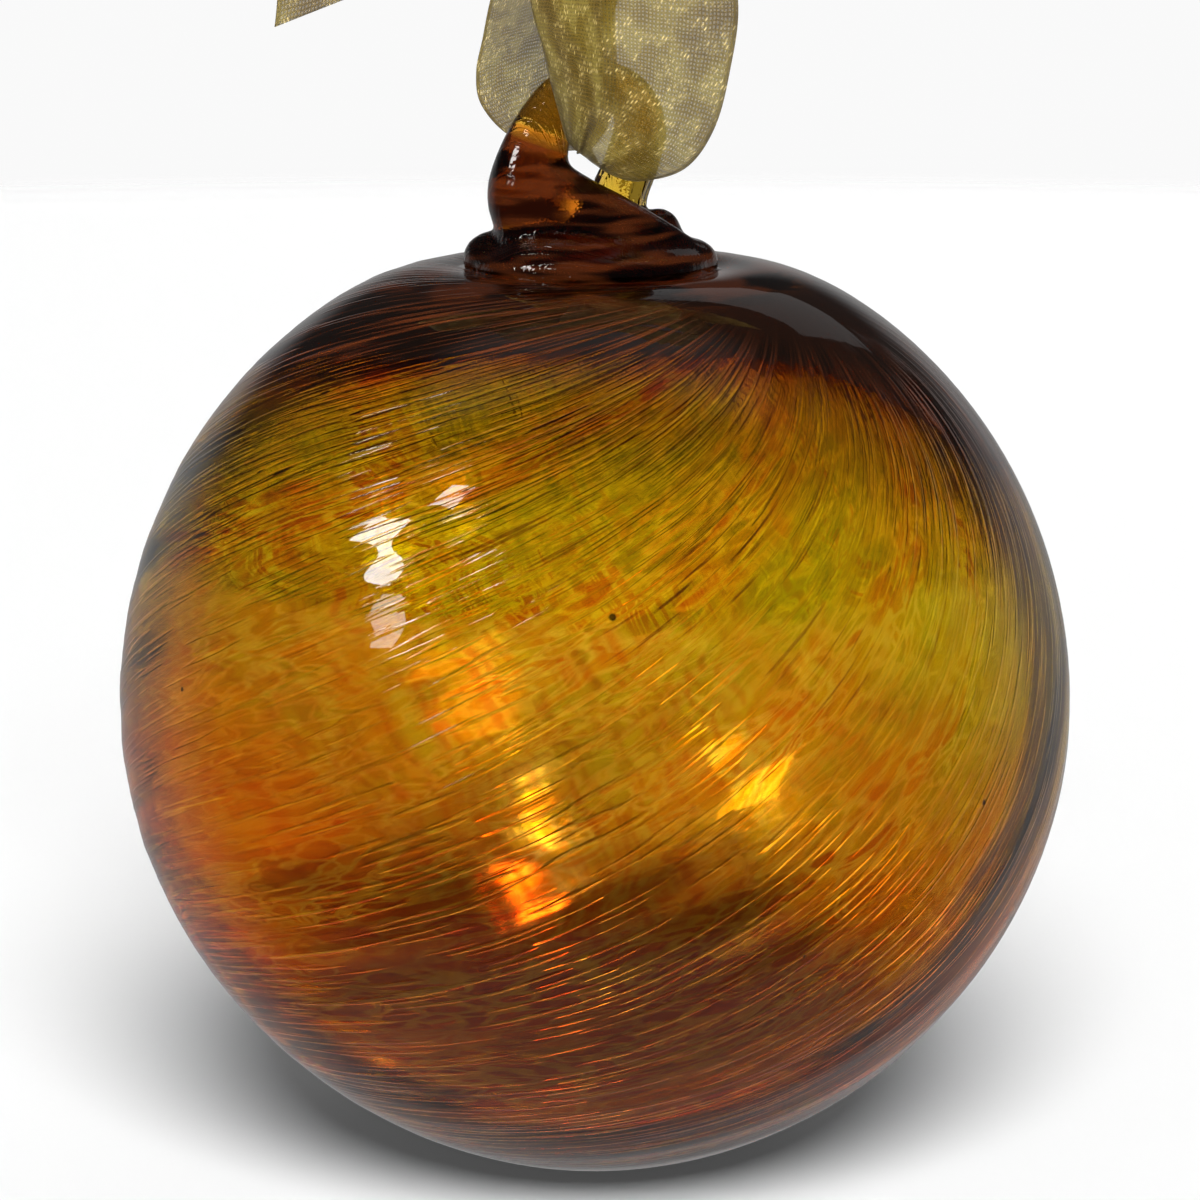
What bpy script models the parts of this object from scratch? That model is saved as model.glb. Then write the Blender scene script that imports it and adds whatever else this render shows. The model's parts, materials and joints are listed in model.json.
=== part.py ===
"""A hand-blown amber glass ball with a glass hanger fused on its neck, and a ribbon tied through the loop.

The ball stands upright on a small flat spot. The origin is the middle of that spot, +Z is up, and the
ribbon's wide bands face -Y. Lengths are in metres.
"""

import bmesh
import bpy
import numpy as np

MM = 0.001

# The ball: nearly a sphere, a little taller above its widest line, sunk at the neck and flat underneath.
BALL_RADIUS = 50.0 * MM
UPPER_HEIGHT = 50.6 * MM
LOWER_HEIGHT = 49.8 * MM
LOWER_LEAN = 0.5 * MM
NECK_SINK = 7.5 * MM
NECK_SINK_RADIUS = 13.5 * MM
FLAT_RADIUS = 8.0 * MM
TOP_LATITUDE = 88.0
BALL_SIDES = 52
BALL_RINGS = 25

# The hot glass hanger is worked out as fat threads and drops that are melted together.
THREAD_SIDES = 16
DROP_RINGS = 9
DROP_TOP_LATITUDE = 86.4
MELT_GRAIN = 1.05 * MM
MELT_PASSES = 4

# x, y, z and radius along the middle of the loop, from the fat left leg over the top to the right leg.
LOOP_THREAD = [
    (-5.9, -3.6, 96.0, 4.0),
    (-6.2, -3.5, 99.2, 4.0),
    (-6.8, -3.3, 103.0, 4.4),
    (-6.4, -2.9, 106.6, 3.7),
    (-5.0, -1.7, 110.3, 3.0),
    (-2.9, -0.6, 113.0, 2.6),
    (0.4, 0.6, 114.0, 2.5),
    (3.3, 1.6, 112.7, 2.5),
    (4.7, 2.6, 109.7, 2.7),
    (3.9, 3.5, 105.8, 2.8),
    (2.6, 4.1, 102.5, 2.9),
    (1.2, 4.5, 98.0, 3.3),
]

# The fold of glass that runs down to the right from the foot of the left leg, and its thin upper edge.
FOLD_THREAD = [
    (-5.6, -4.2, 104.6, 3.0),
    (-2.6, -4.7, 101.9, 3.6),
    (1.6, -4.6, 99.4, 3.8),
    (6.0, -3.4, 97.4, 3.2),
    (9.6, -1.6, 95.8, 2.4),
]
EDGE_THREAD = [
    (-5.2, -3.6, 105.9, 1.6),
    (-1.7, -3.9, 103.3, 1.5),
    (1.6, -3.6, 101.3, 1.5),
    (4.8, -3.0, 99.5, 1.5),
    (8.2, -1.6, 97.4, 1.5),
]

# Drops of glass: centre, then half sizes. The collar, its two lobes, the front swell and the knob.
DROPS = [
    ((-0.5, 0.0, 95.6), (13.0, 12.8, 3.9)),
    ((-10.3, -1.4, 96.0), (3.5, 4.2, 3.0)),
    ((9.6, -0.6, 95.5), (3.3, 4.4, 2.7)),
    ((-1.5, -6.0, 96.6), (8.6, 5.4, 3.4)),
    ((6.6, 1.9, 98.6), (2.4, 2.6, 2.4)),
]

# The ribbon: two bands fan out of the bunch inside the loop and rise to a knot with a bow and two tails.
RIBBON_WIDTH = 22.0 * MM
CLOTH_THICKNESS = 0.8 * MM
BUNCH_THICKNESS = 1.8 * MM
BUNCH_SHARE = 0.1
BAND_STATIONS = 20
BAND_COLUMNS = 5
KNOT_CENTRE = (1.0, -0.5, 142.0)
KNOT_HALF_SIZES = (4.2, 3.6, 4.6)
BOW_REACH = 25.0
BOW_DEPTH = 8.0
BOW_LIFT = 3.0
BOW_BACK = 1.0
BOW_LEAN = 0.12
BOW_PINCH = 0.25
BOW_OPENING = 0.7
BOW_FIRST_TURN = 10.8
BOW_STATIONS = 17

# Base colour, roughness and how much light goes through.
AMBER_GLASS = ((0.62, 0.30, 0.03), 0.03, 1.0)
GOLD_ORGANZA = ((0.55, 0.46, 0.22), 0.5, 0.0)

# Each band or tail is a pair of long edges, in millimetres, and how far its middle swells along Y.
FRONT_BAND = (
    [
        (-1.9, 0.6, 106.8),
        (-1.7, -2.6, 107.4),
        (-2.8, -5.3, 108.8),
        (-3.6, -6.4, 111.6),
        (-4.4, -6.6, 114.6),
        (-5.2, -6.6, 118.1),
        (-6.5, -6.0, 123.0),
        (-6.6, -4.4, 130.0),
        (-1.5, -1.2, 141.0),
    ],
    [
        (-0.5, 0.6, 107.4),
        (-0.3, -2.6, 107.3),
        (1.1, -5.8, 105.6),
        (4.5, -8.0, 104.9),
        (9.1, -8.5, 106.2),
        (12.0, -8.0, 110.0),
        (13.6, -7.2, 115.6),
        (14.5, -5.6, 123.0),
        (12.4, -3.8, 131.0),
        (3.5, -1.2, 141.0),
    ],
    -1.8,
)
BACK_BAND = (
    [
        (-1.9, -0.9, 106.9),
        (-2.0, 2.2, 106.9),
        (-4.8, 5.0, 106.7),
        (-9.1, 5.6, 108.2),
        (-11.9, 6.0, 111.3),
        (-12.4, 6.2, 114.6),
        (-11.7, 5.8, 118.2),
        (-10.8, 5.0, 122.5),
        (-8.6, 3.6, 131.0),
        (-1.5, 0.4, 141.0),
    ],
    [
        (-0.5, -0.9, 107.5),
        (-0.9, 4.8, 109.8),
        (0.4, 6.4, 114.0),
        (1.4, 6.2, 118.0),
        (2.4, 5.2, 122.5),
        (4.6, 3.6, 131.0),
        (3.5, 0.4, 141.0),
    ],
    1.2,
)
LEFT_TAIL = (
    [
        (0.0, 0.5, 144.0),
        (-12.0, 5.0, 145.0),
        (-24.0, 6.8, 141.0),
        (-31.5, 6.0, 131.5),
        (-33.3, 5.0, 119.4),
    ],
    [
        (0.0, 0.5, 139.5),
        (-6.0, 4.4, 136.5),
        (-10.0, 6.4, 133.0),
        (-12.2, 6.0, 130.5),
        (-13.0, 5.0, 127.4),
    ],
    1.5,
)
RIGHT_TAIL = (
    [
        (2.0, 0.5, 144.0),
        (13.0, 5.0, 144.0),
        (22.0, 7.2, 140.0),
        (29.0, 6.6, 134.0),
        (33.5, 5.0, 126.5),
    ],
    [
        (2.0, 0.5, 139.5),
        (7.0, 4.4, 135.5),
        (11.0, 6.4, 131.5),
        (15.0, 6.2, 127.5),
        (18.0, 5.0, 124.5),
    ],
    1.5,
)


def clear_scene():
    """Removes what the file opened with."""
    for item in list(bpy.data.objects):
        bpy.data.objects.remove(item, do_unlink=True)


def finish(name, colour, roughness, transmission):
    """A Principled material."""
    material = bpy.data.materials.new(name)
    material.use_nodes = True
    shader = material.node_tree.nodes["Principled BSDF"]
    shader.inputs["Base Color"].default_value = (*colour, 1.0)
    shader.inputs["Roughness"].default_value = roughness
    shader.inputs["Transmission Weight"].default_value = transmission
    return material


def smooth_path(points, count):
    """count rows along a Catmull-Rom curve through the given rows."""
    rows = np.asarray(points, dtype=float)
    rows = np.vstack([2 * rows[0] - rows[1], rows, 2 * rows[-1] - rows[-2]])
    place = np.linspace(0.0, len(rows) - 3.0, count)
    first = np.minimum(place.astype(int), len(rows) - 4)
    t = (place - first)[:, None]
    a, b, c, d = (rows[first + step] for step in range(4))
    return b + 0.5 * t * ((c - a) + t * ((2 * a - 5 * b + 4 * c - d) + t * (3 * (b - c) + d - a)))


def body_of_rings(name, rings, material):
    """One closed body through rings of equal length, with a fan of triangles over each end ring."""
    rows, sides, _ = rings.shape
    ends = np.array([rings[0].mean(axis=0), rings[-1].mean(axis=0)])
    corners = np.vstack([rings.reshape(-1, 3), ends])
    faces = []
    for row in range(rows - 1):
        for side in range(sides):
            near, far = row * sides, (row + 1) * sides
            after = (side + 1) % sides
            faces.append((near + side, near + after, far + after, far + side))
    last_ring = (rows - 1) * sides
    for side in range(sides):
        after = (side + 1) % sides
        faces.append((rows * sides, after, side))
        faces.append((rows * sides + 1, last_ring + side, last_ring + after))
    mesh = bpy.data.meshes.new(name)
    mesh.from_pydata(corners.tolist(), [], faces)
    shell = bmesh.new()
    shell.from_mesh(mesh)
    bmesh.ops.recalc_face_normals(shell, faces=shell.faces)
    shell.to_mesh(mesh)
    shell.free()
    mesh.shade_smooth()
    mesh.materials.append(material)
    body = bpy.data.objects.new(name, mesh)
    bpy.context.scene.collection.objects.link(body)
    return body


def circle(sides):
    """Cosine and sine round one turn, each as a column of its own."""
    turn = np.linspace(0.0, 2 * np.pi, sides, endpoint=False)
    return np.cos(turn), np.sin(turn)


def ball_outline(latitude):
    """Radius and height over the widest line of the ball at each latitude."""
    upper = latitude > 0
    lean = np.where(upper, 0.0, LOWER_LEAN / BALL_RADIUS) * np.sin(2 * latitude) ** 2
    radius = BALL_RADIUS * np.cos(latitude) * (1 - lean)
    height = np.where(upper, UPPER_HEIGHT, LOWER_HEIGHT) * np.sin(latitude) * (1 - lean)
    sink = NECK_SINK * np.exp(-((radius / NECK_SINK_RADIUS) ** 2))
    return radius, height - np.where(upper, sink, 0.0)


def ball(material):
    """The ball as a turned body, cut level where its radius is that of the flat spot."""
    lowest = -np.arccos(FLAT_RADIUS / BALL_RADIUS)
    highest = np.radians(TOP_LATITUDE)
    radius, height = ball_outline(np.linspace(lowest, highest, BALL_RINGS))
    height = height - height[0]
    cosine, sine = circle(BALL_SIDES)
    level = np.repeat(height[:, None], BALL_SIDES, axis=1)
    rings = np.stack([radius[:, None] * cosine, radius[:, None] * sine, level], axis=-1)
    return body_of_rings("glass_ball", rings, material)


def thread(name, points, material):
    """A round thread of glass along x, y, z and radius rows, with round ends."""
    count = 4 * len(points)
    path = smooth_path(np.array(points) * MM, count)
    centre, radius = path[:, :3], path[:, 3]
    along = np.gradient(centre, axis=0)
    along /= np.linalg.norm(along, axis=1)[:, None]
    across = np.cross(along, (0.0, -1.0, 0.0))
    across /= np.linalg.norm(across, axis=1)[:, None]
    third = np.cross(along, across)
    cosine, sine = circle(THREAD_SIDES)
    spoke = across[:, None] * cosine[None, :, None] + third[:, None] * sine[None, :, None]
    return body_of_rings(name, centre[:, None] + radius[:, None, None] * spoke, material)


def drop(name, centre, half_sizes, material):
    """An ellipsoid."""
    top = np.radians(DROP_TOP_LATITUDE)
    latitude = np.linspace(-top, top, DROP_RINGS)
    cosine, sine = circle(2 * DROP_RINGS)
    level = np.repeat(np.sin(latitude)[:, None], 2 * DROP_RINGS, axis=1)
    rings = np.stack([np.cos(latitude)[:, None] * cosine, np.cos(latitude)[:, None] * sine, level], axis=-1)
    return body_of_rings(name, (rings * half_sizes + centre) * MM, material)


def melt(name, bodies):
    """Joins bodies into one guide object whose skin is remade as a single melted surface."""
    with bpy.context.temp_override(active_object=bodies[0], selected_editable_objects=bodies):
        bpy.ops.object.join()
    guide = bodies[0]
    guide.name = name
    skin = guide.modifiers.new("skin", "REMESH")
    skin.mode = "VOXEL"
    skin.voxel_size = MELT_GRAIN
    soften = guide.modifiers.new("soften", "SMOOTH")
    soften.iterations = MELT_PASSES
    guide.hide_render = True
    guide.display_type = "WIRE"
    return guide


def unite(body, guide):
    """Adds a guide to a body with a live Boolean union."""
    union = body.modifiers.new(guide.name, "BOOLEAN")
    union.operation = "UNION"
    union.object = guide
    union.use_self = True
    guide.hide_render = True
    guide.display_type = "WIRE"


def band(name, left, right, swell, bunched, material):
    """A thin band of cloth between two long edges, thicker where it is bunched at its start.

    Its middle surface is the straight mix of the edges, swelled along Y as a parabola across the width.
    The cross-section ring runs across one face and back along the other.
    """
    left = smooth_path(np.array(left) * MM, BAND_STATIONS)
    right = smooth_path(np.array(right) * MM, BAND_STATIONS)
    share = np.linspace(0.0, 1.0, BAND_COLUMNS)[None, :, None]
    middle = left[:, None] * (1 - share) + right[:, None] * share
    along = np.linspace(0.0, 1.0, BAND_STATIONS)[:, None]
    bulge = 4 * share[:, :, 0] * (1 - share[:, :, 0]) * np.sin(np.pi * along)
    middle[:, :, 1] += swell * MM * bulge
    normal = np.cross(np.gradient(middle, axis=0), np.gradient(middle, axis=1))
    normal /= np.linalg.norm(normal, axis=2)[:, :, None]
    extra = BUNCH_THICKNESS - CLOTH_THICKNESS if bunched else 0.0
    half = 0.5 * (CLOTH_THICKNESS + extra * np.exp(-((along / BUNCH_SHARE) ** 2)))[:, :, None]
    rings = np.concatenate([middle + half * normal, (middle - half * normal)[:, ::-1]], axis=1)
    return body_of_rings(name, rings, material)


def bow_loop(name, side, material):
    """One loop of the bow: a band as wide as the ribbon, bent out and back, and pinched at the knot."""
    first = np.radians(BOW_FIRST_TURN)
    turn = np.linspace(first, 2 * np.pi - first, BOW_STATIONS)
    open_part = np.sin(0.5 * turn)
    out = 0.5 * BOW_REACH * (1 - np.cos(turn))
    depth = BOW_DEPTH * np.sin(turn) * open_part + BOW_BACK
    pinch = BOW_PINCH + (1 - BOW_PINCH) * open_part**BOW_OPENING
    centre = np.stack([side * out, depth, BOW_LIFT * open_part**2], axis=-1) + KNOT_CENTRE
    share = np.linspace(-0.5, 0.5, BAND_COLUMNS)
    rise = np.array([side * BOW_LEAN, 0.0, 1.0])
    width = RIBBON_WIDTH / MM * pinch
    middle = centre[:, None] + (width[:, None] * share)[:, :, None] * rise
    normal = np.cross(np.gradient(middle, axis=0), np.gradient(middle, axis=1))
    normal *= 0.5 * CLOTH_THICKNESS / MM / np.linalg.norm(normal, axis=2)[:, :, None]
    rings = np.concatenate([middle + normal, (middle - normal)[:, ::-1]], axis=1)
    return body_of_rings(name, rings * MM, material)


def glass_ball():
    """The ball with its hanger melted on."""
    amber = finish("amber_glass", *AMBER_GLASS)
    threads = {"loop": LOOP_THREAD, "fold": FOLD_THREAD, "edge": EDGE_THREAD}
    bodies = [thread(name, points, amber) for name, points in threads.items()]
    bodies += [drop(f"drop_{n}", *sizes, amber) for n, sizes in enumerate(DROPS)]
    unite(ball(amber), melt("hanger_form", bodies))


def ribbon():
    """The knot, with the bands, the loops of the bow and the tails joined to it."""
    organza = finish("gold_organza", *GOLD_ORGANZA)
    knot = drop("ribbon", KNOT_CENTRE, KNOT_HALF_SIZES, organza)
    unite(knot, band("front_band_form", *FRONT_BAND, True, organza))
    unite(knot, band("back_band_form", *BACK_BAND, True, organza))
    unite(knot, band("left_tail_form", *LEFT_TAIL, False, organza))
    unite(knot, band("right_tail_form", *RIGHT_TAIL, False, organza))
    unite(knot, bow_loop("left_loop_form", -1, organza))
    unite(knot, bow_loop("right_loop_form", 1, organza))


clear_scene()
glass_ball()
ribbon()
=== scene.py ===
# %% [markdown]
# # A blown amber glass ball and the ribbon on its loop
#
# The real thing is a hollow ball of amber glass, about as big as an orange. Its maker rolled chips of yellow,
# orange and brown glass into the hot surface, twisted the gather so that the chips drew out into streaks, and
# blew it up. A last gob of hot glass, pulled over into a loop, closes the neck. A gold organza ribbon goes
# through the loop.
#
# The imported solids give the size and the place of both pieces, and this lesson dresses them: one glass body
# with a real wall and a real cavity, one thin cloth ribbon, their materials, and a plain studio.

# %% Load the frame that everything is fitted to
import json
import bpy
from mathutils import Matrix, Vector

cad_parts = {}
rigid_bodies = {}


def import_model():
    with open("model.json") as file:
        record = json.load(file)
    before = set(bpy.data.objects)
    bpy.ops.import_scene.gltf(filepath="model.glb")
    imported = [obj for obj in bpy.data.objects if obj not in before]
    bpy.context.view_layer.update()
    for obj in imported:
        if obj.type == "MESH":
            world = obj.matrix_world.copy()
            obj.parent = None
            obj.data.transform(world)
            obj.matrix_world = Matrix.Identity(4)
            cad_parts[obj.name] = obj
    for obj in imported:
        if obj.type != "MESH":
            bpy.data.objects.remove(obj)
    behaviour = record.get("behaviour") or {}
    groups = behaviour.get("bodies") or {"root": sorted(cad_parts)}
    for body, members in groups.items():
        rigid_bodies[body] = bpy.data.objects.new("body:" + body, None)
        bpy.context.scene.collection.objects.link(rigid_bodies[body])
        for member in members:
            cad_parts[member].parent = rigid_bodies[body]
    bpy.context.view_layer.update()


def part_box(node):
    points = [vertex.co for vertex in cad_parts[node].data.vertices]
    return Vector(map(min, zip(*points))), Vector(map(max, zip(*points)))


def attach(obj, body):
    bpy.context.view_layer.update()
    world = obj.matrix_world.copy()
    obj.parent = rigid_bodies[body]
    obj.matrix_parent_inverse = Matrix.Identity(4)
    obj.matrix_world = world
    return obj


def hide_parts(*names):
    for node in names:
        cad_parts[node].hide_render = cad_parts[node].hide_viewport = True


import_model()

from types import SimpleNamespace

import bmesh
import bpy
import numpy as np

MM = 0.001
ball_low, ball_high = (np.array(corner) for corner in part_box("glass_ball"))
print("glass box in mm:", np.round(ball_low / MM, 1), np.round(ball_high / MM, 1))

# %% [markdown]
# ## Grids that become meshes
#
# Nearly every surface here is a grid of points: one index runs along the piece, the other round it. A closed
# body needs its last column joined to its first and a fan of triangles over each end. Writing that once keeps
# each piece's own code down to its formula. Blender's ready-made spheres and tubes would be quicker, but they
# don't follow this ball's twist or the ribbon's edges.

# %% Helpers for grids and paths


def new_object(name, corners, faces):
    """A mesh object at the origin from an array of corners and a list of faces."""
    mesh = bpy.data.meshes.new(name)
    mesh.from_pydata(corners.tolist(), [], faces)
    mesh.shade_smooth()
    body = bpy.data.objects.new(name, mesh)
    bpy.context.scene.collection.objects.link(body)
    return body


def ring_faces(rows, sides):
    """Quads between neighbouring rings, and fans to two more corners, one before the rings and one after."""
    row, side = np.meshgrid(np.arange(rows - 1), np.arange(sides), indexing="ij")
    after = (side + 1) % sides
    here, above = row * sides, (row + 1) * sides
    quads = np.stack([here + side, here + after, above + after, above + side], axis=-1)
    side = np.arange(sides)
    after = (side + 1) % sides
    last = (rows - 1) * sides
    first_fan = np.stack([np.full(sides, rows * sides), after, side], axis=-1)
    last_fan = np.stack([np.full(sides, rows * sides + 1), last + side, last + after], axis=-1)
    return quads.reshape(-1, 4).tolist() + first_fan.tolist() + last_fan.tolist()


def closed_body(name, rings):
    """A closed body through rings of points, with its faces turned outwards."""
    rows, sides, _ = rings.shape
    corners = np.vstack([rings.reshape(-1, 3), rings[0].mean(axis=0), rings[-1].mean(axis=0)])
    body = new_object(name, corners, ring_faces(rows, sides))
    shell = bmesh.new()
    shell.from_mesh(body.data)
    bmesh.ops.recalc_face_normals(shell, faces=shell.faces)
    shell.to_mesh(body.data)
    shell.free()
    return body


def smooth_path(points, count):
    """count rows along a Catmull-Rom curve through the given rows."""
    rows = np.asarray(points, dtype=float)
    rows = np.vstack([2 * rows[0] - rows[1], rows, 2 * rows[-1] - rows[-2]])
    place = np.linspace(0.0, len(rows) - 3.0, count)
    first = np.minimum(place.astype(int), len(rows) - 4)
    t = (place - first)[:, None]
    a, b, c, d = (rows[first + step] for step in range(4))
    return b + 0.5 * t * ((c - a) + t * ((2 * a - 5 * b + 4 * c - d) + t * (3 * (b - c) + d - a)))


def unit(rows):
    """The same rows with length one."""
    return rows / np.linalg.norm(rows, axis=-1, keepdims=True)


def whole_turn(sides):
    """Angles evenly round a circle, without the last one that would repeat the first."""
    return np.linspace(0.0, 2 * np.pi, sides, endpoint=False)


def sphere_grid(rows, columns):
    """Latitude, turn, and the unit sphere's points on rings that stop just short of its poles."""
    latitude = np.linspace(-0.48 * np.pi, 0.48 * np.pi, rows)[:, None]
    turn = whole_turn(columns)[None, :]
    across = np.cos(latitude)
    points = np.stack([across * np.cos(turn), across * np.sin(turn), np.sin(latitude) + 0 * turn], axis=-1)
    return latitude, turn, points


def positions(mesh):
    """The corners of a mesh as an array."""
    flat = np.empty(3 * len(mesh.vertices))
    mesh.vertices.foreach_get("co", flat)
    return flat.reshape(-1, 3)


def join(first, *others):
    """Makes the others part of the first object."""
    with bpy.context.temp_override(active_object=first, selected_editable_objects=[first, *others]):
        bpy.ops.object.join()
    return first


def bake_modifiers(body):
    """Replaces the object's mesh with what its modifiers make of it."""
    graph = bpy.context.evaluated_depsgraph_get()
    mesh = bpy.data.meshes.new_from_object(body.evaluated_get(graph))
    body.modifiers.clear()
    body.data = mesh
    return body


# %% [markdown]
# ## The swirl
#
# While the gather was soft its maker turned one end against the other, so every streak and ridge climbs round
# the ball like the stripe of a barber's pole. The axis of that twist is not upright: it leans towards the
# front right. One pair of numbers follows the glass: the turn, which stays the same along a streak, and the
# rise, which is the height along the twist axis. Ridges, streaks and colour chips are all worked out on that
# pair, and so they agree with each other everywhere.

# %% The twist axis, and the two numbers that follow the glass
SWIRL_LEAN = np.radians(24.0)
SWIRL_TOWARDS = np.radians(-34.0)
TWIST = (0.93, -0.30, 0.40)
WAVES_ADDED = 28

off_upright = np.sin(SWIRL_LEAN) * np.array([np.cos(SWIRL_TOWARDS), np.sin(SWIRL_TOWARDS)])
swirl_axis = np.array([*off_upright, np.cos(SWIRL_LEAN)])
swirl_side = unit(np.cross(swirl_axis, (0.0, 1.0, 0.0)))
swirl_front = np.cross(swirl_axis, swirl_side)


def twisted_by(rise):
    """How far round the axis a streak has turned at each rise: a cubic, steeper towards the bottom."""
    return rise * (TWIST[0] + rise * (TWIST[1] + rise * TWIST[2]))


def swirl_grid(rows, columns):
    """Unit directions on a grid whose columns run along the streaks, with each one's turn and rise.

    The rise is the sine of the latitude about the twist axis. The angle round the axis is the column's turn
    plus what the twist adds at that rise.
    """
    latitude = np.linspace(-0.49 * np.pi, 0.49 * np.pi, rows)[:, None]
    turn = np.broadcast_to(whole_turn(columns)[None, :], (rows, columns))
    rise = np.broadcast_to(np.sin(latitude), (rows, columns))
    round_axis = turn + twisted_by(rise)
    spoke = np.cos(round_axis)[..., None] * swirl_side + np.sin(round_axis)[..., None] * swirl_front
    return np.cos(latitude)[..., None] * spoke + rise[..., None] * swirl_axis, turn, rise


def ripple(turn, rise, seed, fewest, most, slant=7.0, flatter=0.0):
    """Random waves along the streaks, with mean 0 and spread 1.

    A sum of cosines, each with its own whole number of waves round the ball so that the seam closes, its own
    phase and its own slant along the rise. With flatter above 0 the finer waves are the lower ones.
    """
    rng = np.random.default_rng(seed)
    number = rng.integers(fewest, most, WAVES_ADDED)
    phase = rng.uniform(0.0, 2 * np.pi, WAVES_ADDED)
    lean = rng.normal(0.0, slant, WAVES_ADDED)
    share = (fewest / number) ** flatter
    waves = np.cos(number * turn[..., None] + phase + lean * rise[..., None])
    return waves @ share / np.sqrt(0.5 * np.sum(share**2))


def towards_ends(rise):
    """1 round the middle of the twist, 0 at its two ends, where the streaks run together."""
    return 1.0 - rise**2


print("twist axis:", np.round(swirl_axis, 3))

# %% [markdown]
# ## The ball
#
# A blown ball is a hair taller above its widest line than below it, and it sinks a little where the neck was
# closed. A sphere with two half heights and a soft dent says that in one formula, and the wall follows from
# the same formula with smaller half sizes. A sculpted or subdivided sphere would do as well, but a formula
# keeps the outside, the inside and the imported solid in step. A small flat spot underneath lets it stand.

# %% Outside and inside of the ball
BALL_RADIUS = 50.0 * MM
UPPER_HEIGHT = 50.6 * MM
LOWER_HEIGHT = 49.8 * MM
LOWER_LEAN = 0.5 * MM
NECK_SINK = 7.5 * MM
NECK_SINK_RADIUS = 13.5 * MM
FLAT_RADIUS = 8.0 * MM
WALL = 2.0 * MM
WALL_TOP = 93.0 * MM


def below_lean(up):
    """The share by which the lower half shrinks: 0 at the widest line and the bottom, most half-way down."""
    return LOWER_LEAN / BALL_RADIUS * 4 * up**2 * (1 - up**2)


lowest_rise = np.sqrt(1.0 - (FLAT_RADIUS / BALL_RADIUS) ** 2)
middle_height = LOWER_HEIGHT * lowest_rise * (1 - below_lean(lowest_rise))


def ball_surface(direction, wall):
    """Points of the ball along unit directions, with the wall's thickness taken off.

    Across, the half size times the direction's own share. Upwards the same with the taller half height above
    the widest line, less a bell-shaped dent round the neck. Below the widest line both shrink by the lean
    above. Nothing goes under the flat spot.
    """
    up = direction[..., 2]
    upper = up > 0
    lean = np.where(upper, 0.0, below_lean(up))
    across = (BALL_RADIUS - wall) * direction[..., :2] * (1 - lean)[..., None]
    radius = np.linalg.norm(across, axis=-1)
    dent = np.where(upper, (NECK_SINK + wall) * np.exp(-((radius / NECK_SINK_RADIUS) ** 2)), 0.0)
    height = middle_height + (np.where(upper, UPPER_HEIGHT, LOWER_HEIGHT) - wall) * up * (1 - lean) - dent
    return np.concatenate([across, np.maximum(height, wall)[..., None]], axis=-1)


SWELL = 0.035 * MM
THREAD_RELIEF = 0.022 * MM
THREAD_ABOVE = 1.3

# Waves as the fewest and the most round the ball, and for some their slant.
SWELL_WAVES = (14, 50)
INNER_WAVES = (8, 34)
THREAD_WAVES = (45, 150, 16.0)


def outer_relief(turn, rise):
    """Broad swells, and thin raised threads where finer waves rise above a threshold."""
    threads = np.maximum(ripple(turn, rise, 5, *THREAD_WAVES) - THREAD_ABOVE, 0.0)
    swells = ripple(turn, rise, 3, *SWELL_WAVES, flatter=1.0)
    return (SWELL * swells + THREAD_RELIEF * threads) * towards_ends(rise)


def inner_relief(turn, rise):
    """Only broad swells: the inside was never touched by a tool."""
    return 2 * SWELL * ripple(turn, rise, 8, *INNER_WAVES, flatter=1.0) * towards_ends(rise)


def glass_skin(name, rows, columns, wall, relief):
    """One side of the wall: the ball's surface with its relief raised along each direction."""
    direction, turn, rise = swirl_grid(rows, columns)
    points = ball_surface(direction, wall) + relief(turn, rise)[..., None] * direction
    points[..., 2] = np.maximum(points[..., 2], wall)
    return closed_body(name, points)


outside = glass_skin("amber_ball", 96, 640, 0.0, outer_relief)
print("outside:", len(outside.data.polygons), "faces, ball middle at", round(middle_height / MM, 2), "mm")

# %% [markdown]
# ## The hanger
#
# The loop was drawn from one gob of hot glass: a fat left leg, an arch, a thinner right leg, a fold that runs
# down from the left foot, and a collar that spread over the neck. Fat threads and flattened drops stand for
# them, a voxel remesh melts them into one skin, and smoothing gives it the surface tension of hot glass.
# Metaballs would melt too, but they pull at each other from afar and are hard to place.

# %% Threads and drops of hot glass
MELT_GRAIN = 0.42 * MM
MELT_PASSES = 22
THREAD_SIDES = 28

# Threads as x, y, z and radius in millimetres, and drops as a centre and three half sizes.
LOOP_THREAD = [
    (-5.9, -3.6, 96.0, 4.0),
    (-6.2, -3.5, 99.2, 4.0),
    (-6.8, -3.3, 103.0, 4.4),
    (-6.4, -2.9, 106.6, 3.7),
    (-5.0, -1.7, 110.3, 3.0),
    (-2.9, -0.6, 113.0, 2.6),
    (0.4, 0.6, 114.0, 2.5),
    (3.3, 1.6, 112.7, 2.5),
    (4.7, 2.6, 109.7, 2.7),
    (3.9, 3.5, 105.8, 2.8),
    (2.6, 4.1, 102.5, 2.9),
    (1.2, 4.5, 98.0, 3.3),
]
FOLD_THREAD = [
    (-5.6, -4.2, 104.6, 3.0),
    (-2.6, -4.7, 101.9, 3.6),
    (1.6, -4.6, 99.4, 3.8),
    (6.0, -3.4, 97.4, 3.2),
    (9.6, -1.6, 95.8, 2.4),
]
EDGE_THREAD = [
    (-5.2, -3.6, 105.9, 1.6),
    (-1.7, -3.9, 103.3, 1.5),
    (1.6, -3.6, 101.3, 1.5),
    (4.8, -3.0, 99.5, 1.5),
    (8.2, -1.6, 97.4, 1.5),
]
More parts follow.
